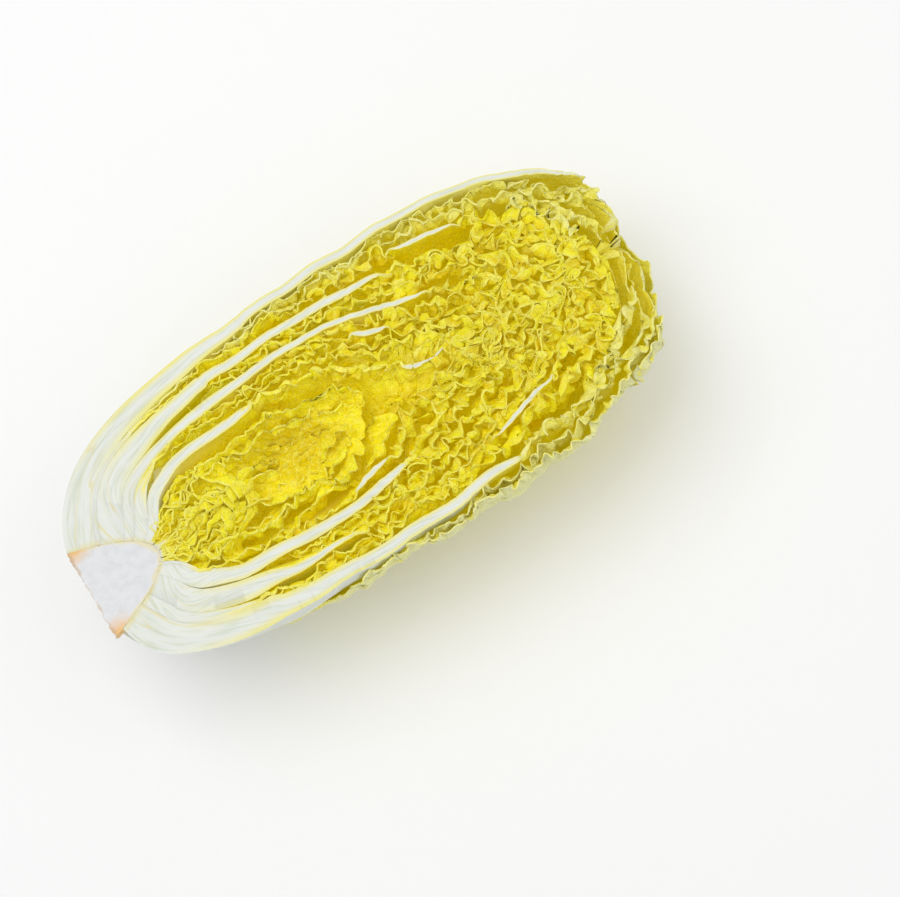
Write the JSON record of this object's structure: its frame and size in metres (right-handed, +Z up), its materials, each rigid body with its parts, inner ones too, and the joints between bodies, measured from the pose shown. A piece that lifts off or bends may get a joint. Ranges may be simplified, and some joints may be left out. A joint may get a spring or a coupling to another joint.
{
  "type": "napa cabbage",
  "caption": "Half a napa cabbage cut lengthwise, lying cut face up: crinkled yellow leaves packed in layers round a loose heart, thick white stalks, and a pale cut core.",
  "frame": {"origin": "middle of the bounding box in plan, on the surface that the half lies on", "axes": "+X along the head from the cut stem end to the leaf tips, +Y across the cut face, +Z up, square to the cut face"},
  "size_m": [0.29, 0.142, 0.069],
  "materials": {
    "core": "moist, cut, off-white, browned at the trimmed end",
    "outer_leaf": "smooth, white on the stalk and pale yellow-green on the blade",
    "inner_leaf": "smooth, white on the rib and yellow on the crinkled blade",
    "heart_leaf": "smooth, blistered, bright yellow"
  },
  "bodies": {
    "root": {"core": "core", "leaf_01": "outer_leaf", "leaf_02": "outer_leaf", "leaf_03": "outer_leaf", "leaf_04": "outer_leaf", "leaf_05": "outer_leaf", "leaf_06": "inner_leaf", "leaf_07": "inner_leaf", "leaf_08": "inner_leaf", "leaf_09": "inner_leaf", "leaf_10": "inner_leaf", "leaf_11": "inner_leaf", "leaf_12": "inner_leaf", "leaf_13": "inner_leaf", "leaf_14": "inner_leaf", "leaf_15": "inner_leaf", "leaf_16": "inner_leaf", "leaf_17": "inner_leaf", "leaf_18": "inner_leaf", "leaf_19": "inner_leaf", "leaf_20": "inner_leaf", "leaf_21": "inner_leaf", "heart_leaf_1": "heart_leaf", "heart_leaf_2": "heart_leaf", "heart_leaf_3": "heart_leaf", "heart_leaf_4": "heart_leaf", "heart_leaf_5": "heart_leaf"}
  },
  "joints": []
}
